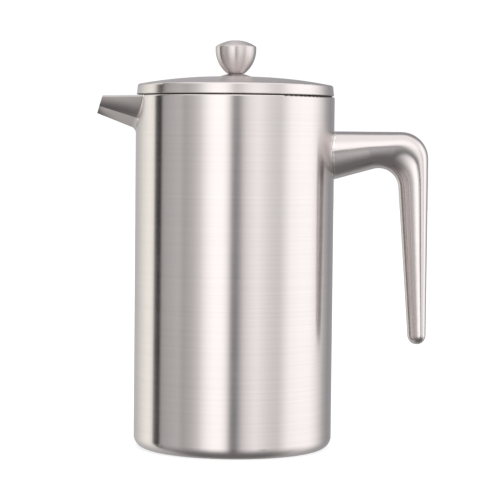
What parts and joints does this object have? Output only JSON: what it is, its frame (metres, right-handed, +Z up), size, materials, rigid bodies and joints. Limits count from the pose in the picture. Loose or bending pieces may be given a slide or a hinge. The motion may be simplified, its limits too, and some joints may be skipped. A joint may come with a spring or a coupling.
{
  "type": "french press",
  "caption": "Double-walled steel coffee press: cylindrical vessel with V-shaped pouring spout, hollow hook handle, domed lid, and a sliding plunger with a spring-edged mesh filter.",
  "frame": {"origin": "centre of the flat base, on the surface that the press stands on", "axes": "+Z up along the vessel's axis, +X towards the handle, -X towards the spout, lid on and plunger down"},
  "size_m": [0.1753, 0.105, 0.2155],
  "materials": {
    "body_steel": "satin, fine circumferential brushing",
    "base_steel": "drawn, dull",
    "liner_steel": "fine circumferential brushing",
    "spout_steel": "satin, brushed along the folds, ground at the weld",
    "handle_steel": "satin, brushed along its length",
    "lid_steel": "satin dome with a circumferentially brushed band",
    "lid_inner_steel": "fine brushing",
    "knob_steel": "turned and brushed",
    "rod_steel": "drawn, bright",
    "plate_steel": "stamped, satin",
    "screen_steel": "woven wire",
    "spring_steel": "drawn wire",
    "seal_silicone": "matt silicone",
    "guide_plastic": "moulded, matt"
  },
  "bodies": {
    "vessel": {"outer_shell": "body_steel", "base_plate": "base_steel", "inner_liner": "liner_steel", "spout": "spout_steel", "handle_saddle": "handle_steel", "handle": "handle_steel"},
    "lid_seal": {"lid_seal": "seal_silicone"},
    "lid": {"lid_cover": "lid_steel", "lid_pan": "lid_inner_steel", "lid_strainer": "lid_inner_steel"},
    "guide": {"rod_guide": "guide_plastic", "guide_washer": "plate_steel"},
    "plunger": {"knob": "knob_steel", "plunger_rod": "rod_steel", "rod_collar": "rod_steel", "spiral_plate": "plate_steel", "spring_coil": "spring_steel", "fine_screen": "screen_steel", "support_screen": "screen_steel", "cross_plate": "plate_steel", "hub_nut": "plate_steel"}
  },
  "joints": [
    {"name": "lid_lift", "type": "slide", "parent": "vessel", "child": "lid_seal", "axis": [0, 0, 1], "range_m": [0, 0.2]},
    {"name": "lid_turn", "type": "hinge", "parent": "lid_seal", "child": "lid", "pos_m": [0, 0, 0.1864], "axis": [0, 0, 1], "continuous": true},
    {"name": "plunger_turn", "type": "hinge", "parent": "lid", "child": "guide", "pos_m": [0, 0, 0.18], "axis": [0, 0, 1], "continuous": true},
    {"name": "plunger_slide", "type": "slide", "parent": "guide", "child": "plunger", "axis": [0, 0, 1], "range_m": [0, 0.15]}
  ]
}
